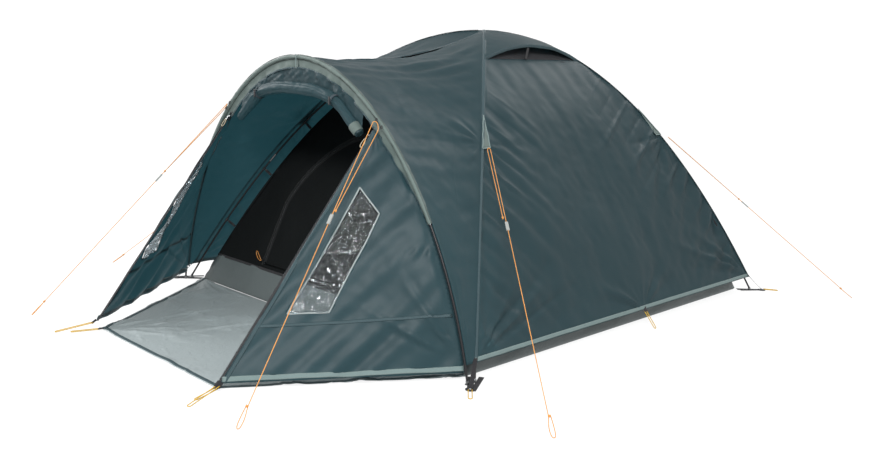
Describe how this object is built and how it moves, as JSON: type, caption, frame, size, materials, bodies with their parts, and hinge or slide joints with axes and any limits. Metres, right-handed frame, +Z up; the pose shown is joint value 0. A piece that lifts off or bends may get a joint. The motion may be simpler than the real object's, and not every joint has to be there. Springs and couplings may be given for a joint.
{
  "type": "dome tent",
  "caption": "Dome tent on crossing poles with roof vents, a hooped front porch, rolled-up door, clear side window, dark bedroom, groundsheet and guylines.",
  "frame": {"origin": "on the ground at the middle of the bedroom floor, straight under the apex", "axes": "+Z up, -Y towards the porch door, +Y towards the rear, +X towards the side with the window that faces the camera in the picture"},
  "size_m": [2.9206, 3.1868, 1.25],
  "materials": {
    "flysheet": "matte woven polyester, lightly coated",
    "sage_trim": "matte woven",
    "hoop_sleeve": "matte woven",
    "window_film": "soft clear PVC",
    "vent_mesh": "fine net",
    "inner_cloth": "matte breathable polyester",
    "tub_floor": "coated woven polyethylene",
    "groundsheet": "satin woven polyethylene",
    "pole": "lacquered fibreglass",
    "steel": "satin",
    "elastic": "braided elastic",
    "black_webbing": "ribbed webbing",
    "yellow_strap": "ribbed webbing",
    "zip": "nylon coil",
    "zip_slider": "satin",
    "cream_cord": "braided cord",
    "orange_cord": "braided cord",
    "door_tie": "elastic with a plastic toggle",
    "runner": "moulded plastic"
  },
  "bodies": {
    "tent": {"fly_side_right": "flysheet", "fly_side_left": "flysheet", "fly_rear": "flysheet", "fly_roof_right": "flysheet", "fly_roof_left": "flysheet", "porch_panel_right": "flysheet", "porch_panel_left": "flysheet", "vent_hood_right": "flysheet", "vent_hood_left": "flysheet", "door_upper_panel": "flysheet", "arch_band": "sage_trim", "hem_tape": "sage_trim", "guy_tabs": "sage_trim", "arch_sleeve": "hoop_sleeve", "porch_window_right": "window_film", "porch_window_left": "window_film", "vent_mesh": "vent_mesh", "inner_side_right": "inner_cloth", "inner_side_left": "inner_cloth", "inner_rear": "inner_cloth", "inner_front": "inner_cloth", "bathtub_floor": "tub_floor", "porch_groundsheet": "groundsheet", "dome_pole_front_left": "pole", "dome_pole_front_right": "pole", "porch_pole": "pole", "pole_ferrules": "steel", "pole_tips": "steel", "pole_eyelets": "steel", "peg_eyelets": "steel", "shock_cords": "elastic", "corner_webbing": "black_webbing", "pole_clips": "black_webbing", "arch_guy_loops": "black_webbing", "peg_loops": "yellow_strap", "door_zips": "zip", "inner_zip": "zip", "guyline_front_right": "orange_cord", "guyline_front_left": "orange_cord", "guyline_side_right": "orange_cord", "guyline_side_left": "orange_cord", "guyline_rear_right": "orange_cord", "guyline_rear_left": "orange_cord"},
    "door_roll_bundle": {"door_roll": "flysheet", "door_ties": "door_tie"},
    "door_slider_right": {"zip_slider_right": "zip_slider", "zip_pull_right": "cream_cord"},
    "door_slider_left": {"zip_slider_left": "zip_slider", "zip_pull_left": "cream_cord"},
    "bedroom_door": {"inner_door": "inner_cloth"},
    "bedroom_slider": {"inner_zip_slider": "zip_slider", "inner_zip_pull": "orange_cord"},
    "vent_prop_right_arm": {"vent_prop_right": "black_webbing"},
    "vent_prop_left_arm": {"vent_prop_left": "black_webbing"},
    "runner_front_right_bar": {"runner_front_right": "runner"},
    "runner_front_left_bar": {"runner_front_left": "runner"},
    "runner_side_right_bar": {"runner_side_right": "runner"},
    "runner_side_left_bar": {"runner_side_left": "runner"},
    "runner_rear_right_bar": {"runner_rear_right": "runner"},
    "runner_rear_left_bar": {"runner_rear_left": "runner"}
  },
  "joints": [
    {"name": "door_roll_drop", "type": "slide", "parent": "tent", "child": "door_roll_bundle", "axis": [0, -0.6219, -0.7831], "range_m": [0, 1]},
    {"name": "door_zip_right", "type": "slide", "parent": "tent", "child": "door_slider_right", "axis": [-0.0161, -0.6218, -0.783], "range_m": [0, 0.95]},
    {"name": "door_zip_left", "type": "slide", "parent": "tent", "child": "door_slider_left", "axis": [0.0161, -0.6218, -0.783], "range_m": [0, 0.95]},
    {"name": "bedroom_door_fold", "type": "hinge", "parent": "tent", "child": "bedroom_door", "pos_m": [0, -0.93452, 0.152], "axis": [1, 0, 0], "range_deg": [0, 115]},
    {"name": "bedroom_zip", "type": "slide", "parent": "tent", "child": "bedroom_slider", "axis": [0, 0.4291, 0.9033], "range_m": [0, 0.2]},
    {"name": "vent_prop_fold_right", "type": "hinge", "parent": "tent", "child": "vent_prop_right_arm", "pos_m": [0.3242, -0.07, 1.124], "axis": [0, 1, 0], "range_deg": [0, 105]},
    {"name": "vent_prop_fold_left", "type": "hinge", "parent": "tent", "child": "vent_prop_left_arm", "pos_m": [-0.3242, -0.07, 1.124], "axis": [0, -1, 0], "range_deg": [0, 105]},
    {"name": "runner_slide_front_right", "type": "slide", "parent": "tent", "child": "runner_front_right_bar", "axis": [0.2404, -0.6397, -0.7301], "range_m": [0, 0.25]},
    {"name": "runner_slide_front_left", "type": "slide", "parent": "tent", "child": "runner_front_left_bar", "axis": [-0.2404, -0.6397, -0.7301], "range_m": [0, 0.25]},
    {"name": "runner_slide_side_right", "type": "slide", "parent": "tent", "child": "runner_side_right_bar", "axis": [0.6499, -0.4539, -0.6097], "range_m": [0, 0.25]},
    {"name": "runner_slide_side_left", "type": "slide", "parent": "tent", "child": "runner_side_left_bar", "axis": [-0.6499, -0.4539, -0.6097], "range_m": [0, 0.25]},
    {"name": "runner_slide_rear_right", "type": "slide", "parent": "tent", "child": "runner_rear_right_bar", "axis": [0.6083, 0.4938, -0.6214], "range_m": [0, 0.25]},
    {"name": "runner_slide_rear_left", "type": "slide", "parent": "tent", "child": "runner_rear_left_bar", "axis": [-0.6083, 0.4938, -0.6214], "range_m": [0, 0.25]}
  ]
}
